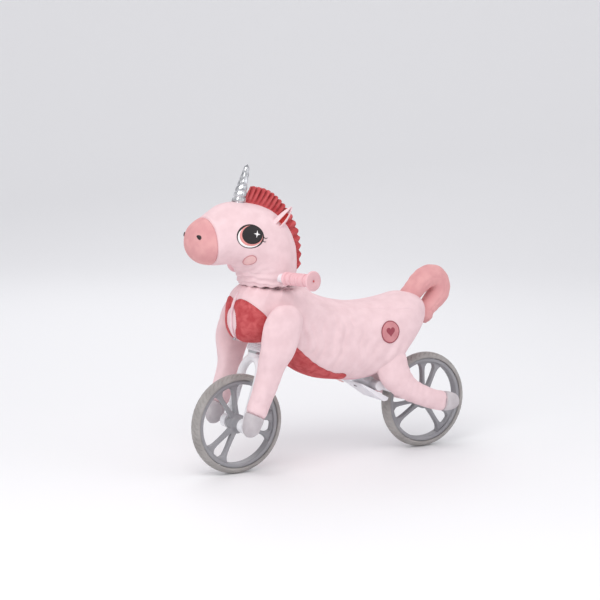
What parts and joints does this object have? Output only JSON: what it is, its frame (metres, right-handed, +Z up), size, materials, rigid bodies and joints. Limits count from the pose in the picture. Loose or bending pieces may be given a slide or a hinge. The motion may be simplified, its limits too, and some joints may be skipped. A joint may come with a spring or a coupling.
{
  "type": "balance bike",
  "caption": "Plush unicorn ride-on balance bike: two small spoked wheels, steering fork and handlebar, hidden saddle, and a padded animal cover with head, mane, horn, legs and tail.",
  "frame": {"origin": "on the ground, on the middle plane, halfway along the overall length", "axes": "+X forward to the nose, +Y to the rider's left, +Z up"},
  "size_m": [0.819, 0.3846, 0.7685],
  "materials": {
    "frame_white": "gloss white powder coat",
    "plastic_white": "satin white moulding",
    "steel": "zinc plated steel",
    "bearing_brass": "brass coloured shield",
    "rim_grey": "moulded grey nylon",
    "tyre_grey": "warm grey foam rubber",
    "grip_pink": "soft pink rubber",
    "saddle_vinyl": "dark grained vinyl",
    "plastic_black": "black moulding",
    "plush_pink": "pale pink short-pile plush",
    "plush_salmon": "salmon short-pile plush",
    "velvet_rose": "rose velvet",
    "hoof_grey": "light grey plush",
    "horn_silver": "crinkled silver foil cloth",
    "eye_print": "embroidered black and white",
    "zip_tape": "woven tape with moulded teeth"
  },
  "bodies": {
    "frame": {"main_frame": "frame_white", "headset_cups": "steel", "headset_bearings": "steel", "headset_boot": "plastic_white", "seat_clamp": "steel", "seat_clamp_bolt": "steel", "footrest": "plastic_white", "footrest_screws": "steel", "rear_axle": "steel", "rear_axle_nuts": "steel", "rear_spacers": "steel", "body_cover": "plush_pink", "chest_panel_left": "velvet_rose", "chest_panel_right": "velvet_rose", "belly_panel": "velvet_rose", "belly_tab": "plush_salmon", "chest_zip": "zip_tape", "zip_slider": "steel", "badge_left": "plush_salmon", "badge_right": "plush_salmon", "front_leg_left": "plush_pink", "front_leg_right": "plush_pink", "front_hoof_left": "hoof_grey", "front_hoof_right": "hoof_grey", "rear_leg_left": "plush_pink", "rear_leg_right": "plush_pink", "rear_hoof_left": "hoof_grey", "rear_hoof_right": "hoof_grey", "tail": "plush_salmon"},
    "seat": {"saddle_pad": "saddle_vinyl", "saddle_base": "plastic_black", "seat_post": "steel"},
    "steering": {"fork": "frame_white", "crown_race": "steel", "headset_nut": "steel", "front_axle": "steel", "front_axle_nuts": "steel", "front_spacers": "steel"},
    "handlebar_and_head": {"stem": "frame_white", "stem_bolts": "steel", "handlebar": "frame_white", "grip_left": "grip_pink", "grip_right": "grip_pink", "head": "plush_pink", "muzzle": "plush_salmon", "mane": "velvet_rose", "horn": "horn_silver", "ear_left": "plush_pink", "ear_right": "plush_pink", "eye_left": "eye_print", "eye_right": "eye_print", "cheek_left": "plush_salmon", "cheek_right": "plush_salmon", "nostrils": "eye_print"},
    "front_wheel": {"front_rim": "rim_grey", "front_tyre": "tyre_grey", "front_bearings": "bearing_brass"},
    "rear_wheel": {"rear_rim": "rim_grey", "rear_tyre": "tyre_grey", "rear_bearings": "bearing_brass"}
  },
  "joints": [
    {"name": "steering_turn", "type": "hinge", "parent": "frame", "child": "steering", "pos_m": [0.2755, 0, 0.125], "axis": [-0.309, 0, 0.9511], "range_deg": [-35, 35]},
    {"name": "front_wheel_spin", "type": "hinge", "parent": "steering", "child": "front_wheel", "pos_m": [0.2755, 0, 0.125], "axis": [0, 1, 0], "continuous": true},
    {"name": "rear_wheel_spin", "type": "hinge", "parent": "frame", "child": "rear_wheel", "pos_m": [-0.2845, 0, 0.125], "axis": [0, 1, 0], "continuous": true},
    {"name": "handlebar_height", "type": "slide", "parent": "steering", "child": "handlebar_and_head", "axis": [-0.309, 0, 0.9511], "range_m": [0, 0.025]},
    {"name": "seat_height", "type": "slide", "parent": "frame", "child": "seat", "axis": [-0.1392, 0, 0.9903], "range_m": [-0.04, 0]}
  ]
}
